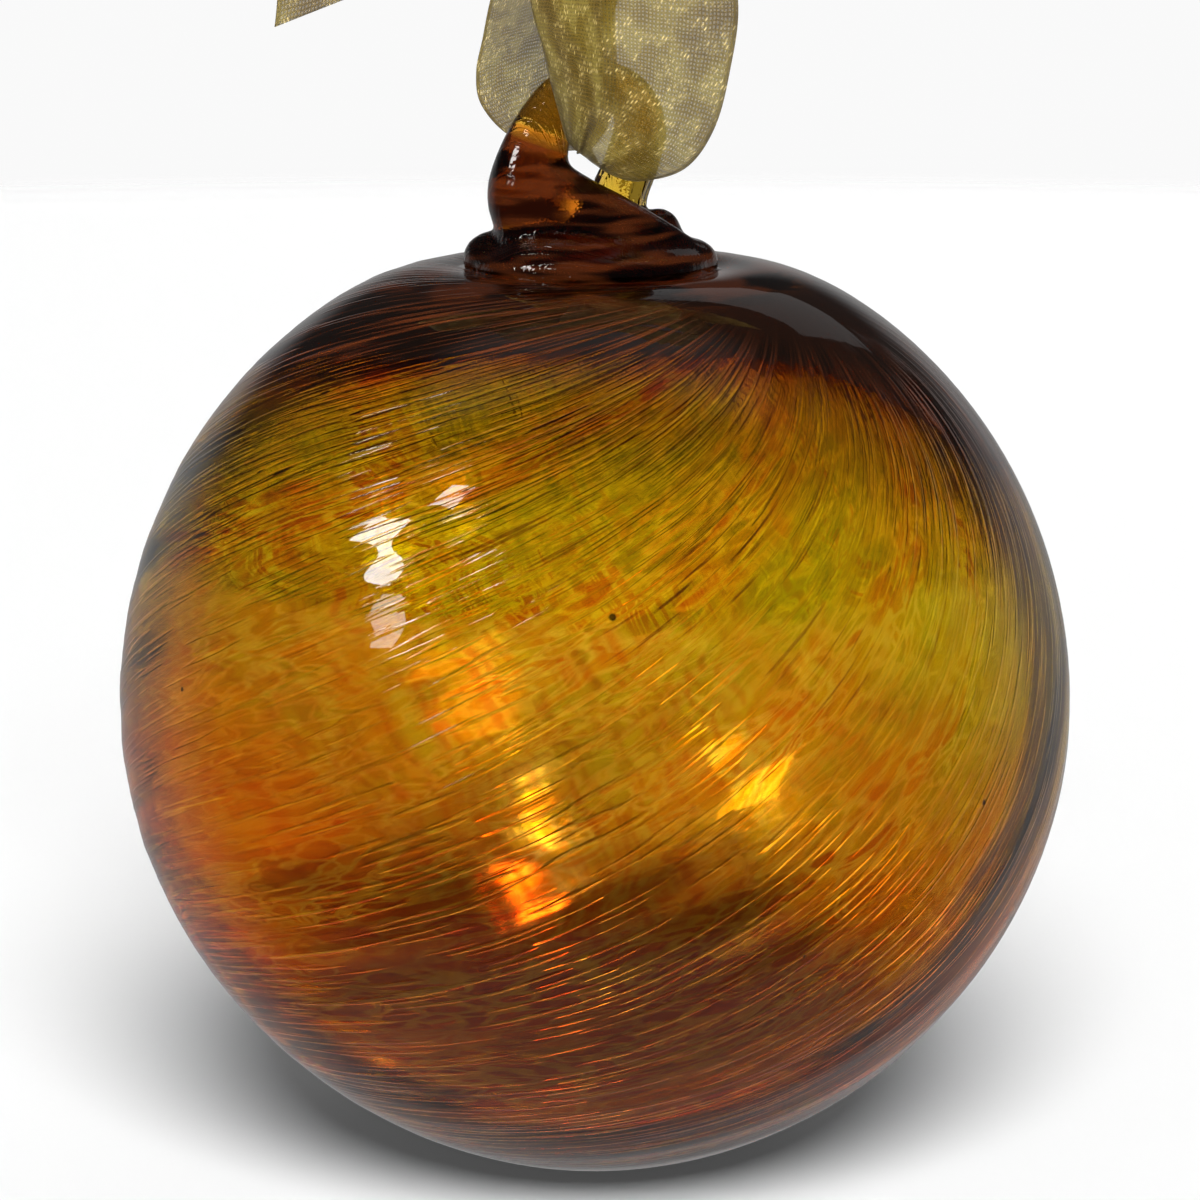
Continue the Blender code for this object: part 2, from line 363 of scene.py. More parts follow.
DROPS = [
    ((-0.5, 0.0, 95.6), (13.0, 12.8, 3.9)),
    ((-10.3, -1.4, 96.0), (3.5, 4.2, 3.0)),
    ((9.6, -0.6, 95.5), (3.3, 4.4, 2.7)),
    ((-1.5, -6.0, 96.6), (8.6, 5.4, 3.4)),
    ((6.6, 1.9, 98.6), (2.4, 2.6, 2.4)),
    ((-0.5, 0.0, 92.6), (14.6, 14.4, 2.6)),
]


def thread(name, points):
    """A round thread along x, y, z and radius rows: a circle carried along the smooth path."""
    path = smooth_path(np.array(points) * MM, 6 * len(points))
    centre, radius = path[:, :3], path[:, 3]
    along = unit(np.gradient(centre, axis=0))
    across = unit(np.cross(along, (0.0, -1.0, 0.0)))
    third = np.cross(along, across)
    turn = whole_turn(THREAD_SIDES)[None, :, None]
    spoke = np.cos(turn) * across[:, None] + np.sin(turn) * third[:, None]
    return closed_body(name, centre[:, None] + radius[:, None, None] * spoke)


def drop(name, centre, half_sizes):
    """An ellipsoid: the unit sphere's latitude rings times three half sizes."""
    _, _, rings = sphere_grid(21, 40)
    return closed_body(name, (rings * half_sizes + centre) * MM)


def melted(bodies):
    """One body with a single melted skin."""
    gob = join(*bodies)
    skin = gob.modifiers.new("skin", "REMESH")
    skin.mode = "VOXEL"
    skin.voxel_size = MELT_GRAIN
    soften = gob.modifiers.new("soften", "SMOOTH")
    soften.iterations = MELT_PASSES
    return bake_modifiers(gob)


# %% Grooves along the right leg, and the hanger
REED_DEPTH = 0.13 * MM
REEDS = 8
REED_LOW = 99.5 * MM
REED_HIGH = 110.0 * MM
LEG_REACH = 4.0 * MM


def reeded(body):
    """Fine lengthwise grooves round the right leg, where the glass was drawn out.

    Each corner of the leg moves away from the leg's middle line by a cosine of its angle round that line.
    """
    place = positions(body.data)
    leg = np.array(LOOP_THREAD[-4:])[::-1] * MM
    middle = np.stack([np.interp(place[:, 2], leg[:, 2], leg[:, axis]) for axis in (0, 1)], axis=-1)
    off = place[:, :2] - middle
    away = np.linalg.norm(off, axis=1)
    on_leg = (away < LEG_REACH) & (place[:, 0] > 0) & (place[:, 1] > 0)
    from_foot = np.clip((place[:, 2] - REED_LOW) / MM, 0.0, 1.0)
    from_arch = np.clip((REED_HIGH - place[:, 2]) / MM, 0.0, 1.0)
    groove = REED_DEPTH * np.cos(REEDS * np.arctan2(off[:, 1], off[:, 0])) * on_leg * (from_foot * from_arch)
    place[:, :2] += off / np.maximum(away, MM)[:, None] * groove[:, None]
    body.data.vertices.foreach_set("co", place.ravel())
    body.data.update()
    return body


threads = [thread("loop", LOOP_THREAD), thread("fold", FOLD_THREAD), thread("edge", EDGE_THREAD)]
drops = [drop(f"drop_{number}", *sizes) for number, sizes in enumerate(DROPS)]
hanger = reeded(melted(threads + drops))
print("hanger:", len(hanger.data.polygons), "faces")

# %% [markdown]
# ## One body of glass
#
# The hanger went on hot, so ball and hanger are one body with no seam between them. A Boolean union makes
# them so. Two bodies that only overlap would look the same from outside, but light would bend again at the
# hidden faces inside the glass. The cavity is then a second skin of the same object that faces inwards, to
# the air it holds.

# %% Union of ball and hanger, and the cavity


def fuse(body, other):
    """Boolean union, applied, and the other object removed."""
    union = body.modifiers.new("union", "BOOLEAN")
    union.operation = "UNION"
    union.object = other
    bake_modifiers(body)
    bpy.data.objects.remove(other, do_unlink=True)
    return body


def turned_in(body):
    """The same body with its faces turned inwards, as the wall of an air space."""
    body.data.flip_normals()
    return body


amber_ball = fuse(outside, hanger)
cavity = turned_in(glass_skin("cavity", 64, 240, WALL, inner_relief))
join(amber_ball, cavity)
print("glass body:", sum(len(face.vertices) - 2 for face in amber_ball.data.polygons), "triangles")

# %% [markdown]
# ## Numbers that follow the glass, kept on its mesh
#
# The material needs the turn and the rise at every point, and a node tree can't easily unwind a twist. So the
# slow-changing numbers are worked out here, once for each corner, and the node tree only adds what is finer
# than the mesh. Cosine and sine of the turn are kept in place of the turn, because they have no seam.

# %% Store the swirl, the chips' places and the tone on the mesh
CHIPS_ROUND = 19.0
CHIPS_ALONG = 8.0
DRIFT_WAVES = (8, 34, 14.0)
WAVER_WAVES = (30, 90, 40.0)
SLOW_WAVES = (2, 16, 5.0)
WANDER_WAVES = (20, 90, 9.0)
CHIP_DRIFT = 0.55
CHIP_WAVER = 0.20
SLOW_SPREAD = 0.18
LEVEL_LEAN = (0.2, -0.1, 0.97)
LEVEL_DRIFT = 9.0
LEVEL_WANDER = 0.8
CAP_EDGE = 84.6 * MM
CAP_LEAN = 0.19
CAP_LEAN_BEHIND = 0.05
CAP_WANDER = 0.35
TONGUE_DEPTH = 11.0
TONGUE_TURN = np.radians(-9.0)
TONGUE_HALF = np.radians(27.0)
GOB_TOP = 109.0 * MM
GOB_FADE = 2.4 * MM
GOB_LEAN = 0.35
COLLAR_TOP = 99.0 * MM


def soft_step(value, low, high):
    """0 below low, 1 above high, an S-curve between, for arrays."""
    share = np.clip((value - low) / (high - low), 0.0, 1.0)
    return share**2 * (3 - 2 * share)


def store(body, name, rows):
    """Keeps three numbers for each corner as an attribute."""
    layer = body.data.attributes.new(name, "FLOAT_VECTOR", "POINT")
    layer.data.foreach_set("vector", rows.ravel())


def gob_darkness(place):
    """1 in the fat left leg of the hanger, a half in its fold and collar, 0 in the arch and the right leg."""
    x, y, height = place.T
    over_collar = soft_step(height, COLLAR_TOP, COLLAR_TOP + 2 * MM)
    arch = soft_step(height + GOB_LEAN * (x + 5 * MM), GOB_TOP - GOB_FADE, GOB_TOP)
    left_leg = over_collar * soft_step(-x, 1.5 * MM, 4.0 * MM)
    right_leg = soft_step(x, 0.0, 1.5 * MM) * soft_step(y, -0.5 * MM, 1.0 * MM) * over_collar
    return (0.5 + 0.5 * left_leg) * (1.0 - arch) * (1.0 - right_leg)


def store_glass_numbers(body):
    """Four attributes, three numbers each.

    swirl is cosine and sine of the turn, and the rise. chips is the same, scaled so that one chip of glass
    is about one unit, with each chip nudged. tone is a slow random number, the level (height with a lean to
    the right) in millimetres, and how far a point is above the edge of the dark cap. That edge lies higher at
    the front, and sags in one broad tongue on the right. skin is how dark the gob of the hanger is, how far
    the height is above the wall's top, and 1 on the side that faces the cavity.
    """
    place = positions(body.data)
    middle = place - np.array([0.0, 0.0, middle_height])
    direction = unit(middle)
    rise = direction @ swirl_axis
    turn = np.arctan2(direction @ swirl_front, direction @ swirl_side) - twisted_by(rise)
    swirl = np.stack([np.cos(turn), np.sin(turn), rise], axis=-1)
    store(body, "swirl", swirl)
    drift = np.stack([ripple(turn, rise, seed, *DRIFT_WAVES) for seed in (21, 22, 23)], axis=-1)
    waver = np.stack([ripple(turn, rise, seed, *WAVER_WAVES) for seed in (24, 25, 26)], axis=-1)
    places = swirl * (CHIPS_ROUND, CHIPS_ROUND, CHIPS_ALONG)
    store(body, "chips", places + CHIP_DRIFT * drift + CHIP_WAVER * waver)
    slow = 0.5 + SLOW_SPREAD * ripple(turn, rise, 31, *SLOW_WAVES)
    wander = ripple(turn, rise, 32, *WANDER_WAVES)
    level = place @ np.array(LEVEL_LEAN) / MM + LEVEL_DRIFT * (slow - 0.5) + LEVEL_WANDER * wander
    lean = np.where(place[:, 1] < 0, CAP_LEAN, CAP_LEAN_BEHIND)
    above_cap = (place[:, 2] + lean * place[:, 1] - CAP_EDGE) / MM + CAP_WANDER * wander
    from_tongue = (np.arctan2(place[:, 1], place[:, 0]) - TONGUE_TURN) / TONGUE_HALF
    above_cap += TONGUE_DEPTH * np.exp(-(from_tongue**2))
    store(body, "tone", np.stack([slow, level, above_cap], axis=-1))
    below_hanger = place[:, 2] < ball_high[2] - BALL_RADIUS
    inside = (np.linalg.norm(middle, axis=1) < BALL_RADIUS - 0.5 * WALL) & below_hanger
    store(body, "skin", np.stack([gob_darkness(place), (place[:, 2] - WALL_TOP) / MM, inside], axis=-1))


store_glass_numbers(amber_ball)

# %% [markdown]
# ## Amber glass
#
# The glass is clear, so its colour comes from two things. The body of the glass drinks blue and then green
# light, which makes thin threads gold and the thick collar red-brown: that is a plain Volume Absorption. The
# chips of coloured glass in the wall tint what passes through it: that is the base colour of a fully
# transmissive Principled shader, worked out on the swirl numbers. Cells stretched along the streaks are the
# chips, the thin paler net between them is the clear glass, and fine noise gives the drawn-out threads. Near
# the outline light crosses more of the wall, and Layer Weight's facing number deepens the tint there. A grey
# band just inside the outline is painted shade, standing for the dark surroundings that the glass bends into
# view there.

# %% Small helpers for node trees


def add_node(tree, kind, settings=None, **inputs):
    """Adds a node, sets its properties, and sets or links its inputs.

    An input goes by its name with _ for a space or, where several share a name, by i and its place.
    """
    node = tree.nodes.new(kind)
    for key, value in (settings or {}).items():
        setattr(node, key, value)
    for key, value in inputs.items():
        by_place = key[0] == "i" and key[1:].isdigit()
        socket = node.inputs[int(key[1:]) if by_place else key.replace("_", " ")]
        if isinstance(value, bpy.types.NodeSocket):
            tree.links.new(value, socket)
        else:
            socket.default_value = value
    return node


def maths(tree, operation, *values):
    """A Math node on numbers or sockets."""
    inputs = {f"i{place}": value for place, value in enumerate(values)}
    return add_node(tree, "ShaderNodeMath", {"operation": operation}, **inputs).outputs[0]


def vector_maths(tree, operation, *values, **named):
    """A Vector Math node on vectors or sockets. A length or a distance comes out as a number."""
    inputs = {f"i{place}": value for place, value in enumerate(values)}
    node = add_node(tree, "ShaderNodeVectorMath", {"operation": operation}, **inputs, **named)
    return node.outputs["Value" if operation in ("LENGTH", "DISTANCE") else "Vector"]


def parts(tree, vector):
    """The three numbers of a vector."""
    return add_node(tree, "ShaderNodeSeparateXYZ", Vector=vector).outputs


def mixed(tree, factor, first, second, blend="MIX"):
    """A colour mixed from two colours or sockets."""
    kinds = {"data_type": "RGBA", "blend_type": blend}
    return add_node(tree, "ShaderNodeMix", kinds, i0=factor, i6=first, i7=second).outputs[2]


def filtered(tree, colour, tint):
    """A colour as it looks through a tint: the two multiplied."""
    return mixed(tree, 1.0, colour, tint, "MULTIPLY")


def shaded(tree, share, strength, below, above):
    """A colour laid over another where share is 1, as strongly as strength."""
    return mixed(tree, maths(tree, "MULTIPLY", share, strength), below, above)


def mixed_shaders(tree, share, first, second):
    """The first shader where share is 0, the second where it is 1."""
    return add_node(tree, "ShaderNodeMixShader", i0=share, i1=first, i2=second).outputs[0]


def noise(tree, place, scale, detail):
    """Noise about 0.5, finer with a larger scale."""
    return add_node(tree, "ShaderNodeTexNoise", Vector=place, Scale=scale, Detail=detail).outputs["Fac"]


def stepped(tree, value, *stops):
    """A colour ramp through (place, colour) stops."""
    node = add_node(tree, "ShaderNodeValToRGB", Fac=value)
    elements = node.color_ramp.elements
    while len(elements) < len(stops):
        elements.new(0.5)
    for element, (place, colour) in zip(elements, stops):
        element.position = place
        element.color = colour
    return node.outputs[0]


def spread(tree, value, low, high):
    """0 below low, 1 above high, smooth between. With low above high it is the other way round."""
    smooth = {"interpolation_type": "SMOOTHSTEP"}
    return add_node(tree, "ShaderNodeMapRange", smooth, Value=value, From_Min=low, From_Max=high).outputs[0]


def new_material(name):
    """A material with an empty node tree."""
    material = bpy.data.materials.new(name)
    material.use_nodes = True
    material.node_tree.nodes.clear()
    return material, material.node_tree


# %% Colours of the amber glass
OLIVE = (0.75, 0.79, 0.06, 1.0)
GOLD = (0.87, 0.79, 0.05, 1.0)
ORANGE = (0.92, 0.58, 0.04, 1.0)
BROWN = (0.74, 0.34, 0.03, 1.0)
RUST = (0.82, 0.315, 0.03, 1.0)
NET_LIGHT = (1.0, 1.0, 0.27, 1.0)
LIGHT_THREAD = (1.0, 0.94, 0.30, 1.0)
DARK_THREAD = (0.35, 0.16, 0.03, 1.0)
CAP_SMOKE = (0.18, 0.055, 0.035, 1.0)
UNDER_CAP = (0.90, 0.76, 0.62, 1.0)
LEFT_LEG = (0.08, 0.018, 0.009, 1.0)
COLLAR = (0.84, 0.38, 0.16, 1.0)
COLLAR_STREAK = (0.30, 0.09, 0.04, 1.0)
# Pale yellow of a painted highlight where the hanger's dark gob fades out.
PAINTED_EDGE_HIGHLIGHT = (1.0, 0.95, 0.55, 1.0)
ARCH = (0.92, 0.62, 0.22, 1.0)
RIGHT_LEG = (0.86, 0.78, 0.40, 1.0)
FRIT_DARK = (0.020, 0.010, 0.006, 1.0)
FRIT_LIGHT = (0.50, 0.11, 0.025, 1.0)
FOOT_GLOW = (0.90, 0.50, 0.32, 1.0)
FOOT_FRIT = (0.50, 0.20, 0.12, 1.0)
SIDE_TINT = (0.88, 0.89, 1.0, 1.0)
SIDE_GOLD = (0.74, 0.60, 0.10, 1.0)
# Grey of the painted shade just inside the outline, and a darker grey for it low down.
PAINTED_RIM_SHADE = (0.26, 0.23, 0.28, 1.0)
PAINTED_LOW_RIM_SHADE = (0.14, 0.14, 0.15, 1.0)
CLEAR = (1.0, 1.0, 1.0, 1.0)
SEED = (0.02, 0.01, 0.0, 1.0)
ABSORBED = (0.90, 0.74, 0.0, 1.0)
ABSORPTION = 430.0
GLASS_IOR = 1.5
INNER_HAZE = 0.09

# How the tint changes from bottom to top: level in tenths of a metre, and colour.
LEVEL_TINT = (
    (0.02, (1.0, 0.86, 1.0, 1.0)),
    (0.12, (1.08, 0.80, 1.0, 1.0)),
    (0.21, (1.06, 0.73, 1.0, 1.0)),
    (0.32, (0.98, 0.67, 1.0, 1.0)),
    (0.46, (0.83, 0.69, 1.0, 1.0)),
    (0.60, (0.86, 0.90, 1.0, 1.0)),
    (0.71, (0.99, 0.97, 1.0, 1.0)),
    (0.80, (0.98, 0.79, 1.0, 1.0)),
    (0.90, (0.78, 0.55, 1.0, 1.0)),
)

# Dark seeds of unmelted matter in the glass: where, and radius.
SEEDS = (
    ((1.7, -46.5, 67.5), 0.50),
    ((-41.2, -27.4, 56.2), 0.35),
    ((38.7, -31.5, 45.6), 0.40),
    ((20.5, -42.5, 32.8), 0.30),
)

# %% What the glass reads at each point
# STREAK_GRAIN is across and along. In the pairs after it, here and below, a change starts at the first number
# and is full at the second. Levels are in millimetres.
STREAK_GRAIN = (70.0, 6.0)
POLE_ZONE = (0.99, 0.91)
FRONT_HALF = (20.0 * MM, -12.0 * MM)
CAP_BODY = (-1.0, 2.0)
FOOT_ZONE = (20.0 * MM, 15.0 * MM)


def stored(tree, name):
    """The three numbers kept on the mesh under this name."""
    return add_node(tree, "ShaderNodeAttribute", {"attribute_name": name}).outputs["Vector"]


def stretched_noise(tree, swirl, detail):
    """Noise drawn out along the streaks."""
    across, along = STREAK_GRAIN
    return noise(tree, vector_maths(tree, "MULTIPLY", swirl, (across, across, along)), 1.0, detail)


def glass_numbers(tree):
    """The stored numbers, the place, and what several colours share.

    away_from_pole fades the streaks where they run together at the twist's upper end, and halves them behind.
    fine is the streak noise, about 0.5. facing is 0 where the glass faces the eye and 1 at its outline.
    cap_body is 1 well inside the dark cap, and foot is 1 close round the collar.
    """
    swirl = stored(tree, "swirl")
    slow, level, above_cap = parts(tree, stored(tree, "tone"))
    gob, above_wall, inside = parts(tree, stored(tree, "skin"))
    here = add_node(tree, "ShaderNodeTexCoord").outputs["Object"]
    x, y, _ = parts(tree, here)
    half_behind = maths(tree, "MULTIPLY_ADD", spread(tree, y, *FRONT_HALF), 0.5, 0.5)
    away_from_pole = maths(tree, "MULTIPLY", spread(tree, parts(tree, swirl)["Z"], *POLE_ZONE), half_behind)
    fine = maths(tree, "SUBTRACT", stretched_noise(tree, swirl, 2.0), 0.5)
    flat = vector_maths(tree, "MULTIPLY", here, (1.0, 1.0, 0.0))
    cap_body = spread(tree, above_cap, *CAP_BODY)
    near_collar = spread(tree, vector_maths(tree, "LENGTH", flat), *FOOT_ZONE)
    return SimpleNamespace(
        swirl=swirl,
        slow=slow,
        level=level,
        above_cap=above_cap,
        gob=gob,
        above_wall=above_wall,
        inside=inside,
        here=here,
        x=x,
        flat=flat,
        away_from_pole=away_from_pole,
        fine=maths(tree, "MULTIPLY_ADD", fine, away_from_pole, 0.5),
        facing=add_node(tree, "ShaderNodeLayerWeight", Blend=0.5).outputs["Facing"],
        cap_body=cap_body,
        foot=maths(tree, "MULTIPLY", near_collar, cap_body),
    )


# %% Chips of glass and the clear net between them
CHIP_CHANCE = 0.60
SLOW_CHANCE = 0.85
CHANCE_SHIFT = -0.255
OLIVE_LEVEL = (60.0, 76.0)
OLIVE_SHIFT = -0.12
UPPER_LEVEL = (36.0, 56.0)
NET_REACH = (0.19, 0.04)
NET_IN_THIN_GLASS = (0.40, 0.58)


def chip_colours(tree, glass):
    """Each chip's own colour, and paler glass along the edges of the cells.

    A cell's random number and the slow tone add up to a choice, which picks from one row of colours above and
    from a redder row below. The net is where the distance to a cell's edge is small.
    """
    chips = stored(tree, "chips")
    chip = add_node(tree, "ShaderNodeTexVoronoi", Vector=chips, Scale=1.0).outputs["Color"]
    chip = add_node(tree, "ShaderNodeSeparateColor", Color=chip).outputs[0]
    slow = maths(tree, "MULTIPLY_ADD", glass.slow, SLOW_CHANCE, CHANCE_SHIFT)
    choice = maths(tree, "MULTIPLY_ADD", chip, CHIP_CHANCE, slow)
    choice = maths(tree, "MULTIPLY_ADD", spread(tree, glass.level, *OLIVE_LEVEL), OLIVE_SHIFT, choice)
    upper = stepped(tree, choice, (0.22, OLIVE), (0.54, GOLD), (0.78, ORANGE), (0.97, BROWN))
    lower = stepped(tree, choice, (0.20, ORANGE), (0.50, RUST), (0.80, BROWN))
    colour = mixed(tree, spread(tree, glass.level, *UPPER_LEVEL), lower, upper)
    to_edge = add_node(tree, "ShaderNodeTexVoronoi", {"feature": "DISTANCE_TO_EDGE"}, Vector=chips, Scale=1.0)
    clear = maths(tree, "MULTIPLY_ADD", spread(tree, glass.slow, *NET_IN_THIN_GLASS), 0.45, 0.55)
    net = maths(tree, "MULTIPLY", spread(tree, to_edge.outputs["Distance"], *NET_REACH), clear)
    return mixed(tree, net, colour, NET_LIGHT)


# %% Tints by height and by angle
SIDE_LEVEL = (18.0, 36.0)
SIDE_START = (0.03, 0.22)
SIDE_GOLD_START = (0.25, 0.55)
SIDE_GOLD_STRENGTH = 0.55
RIM_START = (0.53, 0.63)
RIM_END = (0.84, 0.77)
RIM_STREAKS = (0.60, 0.44)
RIM_RIGHT = (-30.0 * MM, 10.0 * MM)
RIM_LOW = (35.0, 15.0)
LOW_RIM_SHADE_LEVEL = (40.0, 15.0)


def height_and_side_tints(tree, glass, colour):
    """Redder or greener by height, and a duller gold where the wall is seen at a slant."""
    by_level = stepped(tree, maths(tree, "MULTIPLY", glass.level, 0.01), *LEVEL_TINT)
    colour = filtered(tree, colour, by_level)
    not_low = spread(tree, glass.level, *SIDE_LEVEL)
    side = maths(tree, "MULTIPLY", spread(tree, glass.facing, *SIDE_START), not_low)
    colour = mixed(tree, side, colour, filtered(tree, colour, SIDE_TINT))
    side = maths(tree, "MULTIPLY", spread(tree, glass.facing, *SIDE_GOLD_START), not_low)
    return shaded(tree, side, SIDE_GOLD_STRENGTH, colour, SIDE_GOLD)


def painted_dark_rim(tree, glass, colour):
    """Painted shade: a grey band just inside the outline, broken by the streaks, and weaker at the upper
    left.
    """
    # Painted shade: the band stands for the dark surroundings that the glass bends into view near its
    # outline.
    facing = maths(tree, "MULTIPLY_ADD", glass.slow, 0.10, maths(tree, "SUBTRACT", glass.facing, 0.05))
    rim = maths(tree, "MULTIPLY", spread(tree, facing, *RIM_START), spread(tree, facing, *RIM_END))
    streaked = maths(tree, "MULTIPLY_ADD", spread(tree, glass.fine, *RIM_STREAKS), 0.6, 0.4)
    rim = maths(tree, "MULTIPLY", rim, streaked)
    strong = maths(tree, "MAXIMUM", spread(tree, glass.x, *RIM_RIGHT), spread(tree, glass.level, *RIM_LOW))
    rim = maths(tree, "MULTIPLY", rim, maths(tree, "MULTIPLY_ADD", strong, 0.65, 0.35))
    # Low down the painted shade is darker, standing for the floor's shadow seen through the glass.
    rim_shade = mixed(tree, spread(tree, glass.level, *LOW_RIM_SHADE_LEVEL), PAINTED_RIM_SHADE, PAINTED_LOW_RIM_SHADE)
    return mixed(tree, rim, colour, filtered(tree, colour, rim_shade))


# %% The dark cap, fine threads, crackle and seeds
UNDER_CAP_ZONE = (-4.0, 0.0)
CAP_BLUR = (-0.4, 0.4)
CAP_STRENGTH = 0.92
LIGHT_THREADS = (0.60, 0.69)
LIGHT_STRENGTH = 0.65
DARK_THREADS = (0.38, 0.27)
CRISP_LEVEL = (55.0, 80.0)
CRACKLE_SPOKES = 13.0
CRACKLE_ALONG = (90.0, 90.0, 90.0)
CRACKS = (0.47, 0.39)
CRACKLE_STRENGTH = 0.55
FOOT_STRENGTH = 0.7


def cap_and_threads(tree, glass, colour):
    """Smoke above the cap's edge, and threads where the streak noise is high (light) or low (dark)."""
    near_cap = spread(tree, glass.above_cap, *UNDER_CAP_ZONE)
    colour = mixed(tree, near_cap, colour, filtered(tree, colour, UNDER_CAP))
    colour = shaded(tree, spread(tree, glass.above_cap, *CAP_BLUR), CAP_STRENGTH, colour, CAP_SMOKE)
    colour = shaded(tree, spread(tree, glass.fine, *LIGHT_THREADS), LIGHT_STRENGTH, colour, LIGHT_THREAD)
    crisp = maths(tree, "MULTIPLY_ADD", spread(tree, glass.level, *CRISP_LEVEL), 0.6, 0.3)
    return shaded(tree, spread(tree, glass.fine, *DARK_THREADS), crisp, colour, DARK_THREAD)


def cap_crackle(tree, glass, colour):
    """Dark cracks that run out from the collar, and a redder glow close round it.

    The noise is read at the place plus a long step away from the ball's upright middle line, so it changes
    faster round the collar than outwards from it.
    """
    spoke = vector_maths(tree, "SCALE", vector_maths(tree, "NORMALIZE", glass.flat), Scale=CRACKLE_SPOKES)
    spoke = vector_maths(tree, "MULTIPLY_ADD", glass.here, CRACKLE_ALONG, spoke)
    cracks = spread(tree, noise(tree, spoke, 1.0, 1.0), *CRACKS)
    cracks = maths(tree, "MULTIPLY", cracks, glass.cap_body)
    colour = shaded(tree, cracks, CRACKLE_STRENGTH, colour, DARK_THREAD)
    return shaded(tree, glass.foot, FOOT_STRENGTH, colour, FOOT_GLOW)


def seeds(tree, here):
    """1 in each small dark seed."""
    found = 0.0
    for place, radius in SEEDS:
        away = vector_maths(tree, "DISTANCE", here, [MM * number for number in place])
        found = maths(tree, "MAXIMUM", found, spread(tree, away, radius * MM, 0.5 * radius * MM))
    return found


# %% [markdown]
# ## Clear glass and thick dark glass
#
# Where the glass is thick with dark frit, little light comes through and what shows is a glossy skin with a
# colour of its own. More absorption alone would turn it black. So both skins, the ball's and the hanger's,
# are clear glass with a share of an opaque glossy shader mixed in where the cap and the collar are dark. The
# share stays small, so that light still comes through.

# %% The skins
FRIT_ROUGHNESS = 0.05
CAP_FRIT = 0.22
FOOT_SHARE = 0.25
HANGER_FRIT = 0.09
FRIT_SPECKS = (0.47, 0.70)
COLLAR_GRAIN = (130.0, 130.0, 800.0)
COLLAR_STREAKS = (0.40, 0.62)
GOB_HIGHLIGHT_BAND = (0.02, 0.10)
GOB_COLLAR = (0.25, 0.48)
GOB_FRIT = (0.25, 0.50)
GOB_LEG = (0.52, 1.0)
ARCH_HEIGHT = (12.0, 17.0)
ARCH_LEFT = (1.0 * MM, -3.0 * MM)
RIDGES = (0.56, 0.70)
RIDGE_STRENGTH = 0.35
RIDGE_HEIGHT = 0.10 * MM


def clear_glass(tree, colour, roughness, **more):
    """Fully transmissive glass of a colour."""
    glass = add_node(
        tree,
        "ShaderNodeBsdfPrincipled",
        Base_Color=colour,
        Roughness=roughness,
        IOR=GLASS_IOR,
        Transmission_Weight=1.0,
        **more,
    )
    return glass.outputs[0]


def skin_with_frit(tree, colour, frit_colour, share, normal):
    """Clear glass of a colour, with a share of opaque glossy frit mixed in."""
    glass = clear_glass(tree, colour, 0.0, Normal=normal)
    frit = add_node(
        tree,
        "ShaderNodeBsdfPrincipled",
        Base_Color=frit_colour,
        Roughness=FRIT_ROUGHNESS,
        IOR=GLASS_IOR,
        Normal=normal,
    )
    return mixed_shaders(tree, share, glass, frit.outputs[0])


def ball_skin(tree, glass, normal):
    """The ball's colour from all the cells above, and its frit in the dark cap and round the collar.

    Light crosses the outer skin once on its way in and once on its way out, and each crossing tints it by the
    square root of the base colour. So the wall's colour is squared here, and the inside stays clear.
    """
    colour = height_and_side_tints(tree, glass, chip_colours(tree, glass))
    colour = painted_dark_rim(tree, glass, cap_and_threads(tree, glass, colour))
    colour = cap_crackle(tree, glass, colour)
    colour = mixed(tree, seeds(tree, glass.here), filtered(tree, colour, colour), SEED)
    specks = spread(tree, glass.fine, *FRIT_SPECKS)
    frit = mixed(tree, specks, FRIT_DARK, FRIT_LIGHT)
    frit = mixed(tree, maths(tree, "MULTIPLY", glass.foot, specks), frit, FOOT_FRIT)
    share = maths(tree, "MULTIPLY", spread(tree, glass.above_cap, *CAP_BLUR), CAP_FRIT)
    share = maths(tree, "MULTIPLY_ADD", glass.foot, FOOT_SHARE, share)
    return skin_with_frit(tree, colour, frit, share, normal)


def hanger_skin(tree, glass, normal):
    """Pale gold in the drawn-out legs, red-brown and streaked in the collar, nearly black in the left leg."""
    grain = vector_maths(tree, "MULTIPLY", glass.here, COLLAR_GRAIN)
    streaks = spread(tree, noise(tree, grain, 1.0, 1.0), *COLLAR_STREAKS)
    collar = mixed(tree, streaks, COLLAR, COLLAR_STREAK)
    high = spread(tree, glass.above_wall, *ARCH_HEIGHT)
    in_arch = maths(tree, "MAXIMUM", high, spread(tree, glass.x, *ARCH_LEFT))
    colour = mixed(tree, in_arch, RIGHT_LEG, ARCH)
    # Painted highlight: a pale yellow band where the dark gob fades into the arch and the right leg.
    colour = mixed(tree, spread(tree, glass.gob, *GOB_HIGHLIGHT_BAND), colour, PAINTED_EDGE_HIGHLIGHT)
    colour = mixed(tree, spread(tree, glass.gob, *GOB_COLLAR), colour, collar)
    colour = mixed(tree, spread(tree, glass.gob, *GOB_LEG), colour, LEFT_LEG)
    share = maths(tree, "MULTIPLY", spread(tree, glass.gob, *GOB_FRIT), HANGER_FRIT)
    share = maths(tree, "MULTIPLY", share, streaks)
    return skin_with_frit(tree, colour, mixed(tree, streaks, FRIT_DARK, FRIT_LIGHT), share, normal)


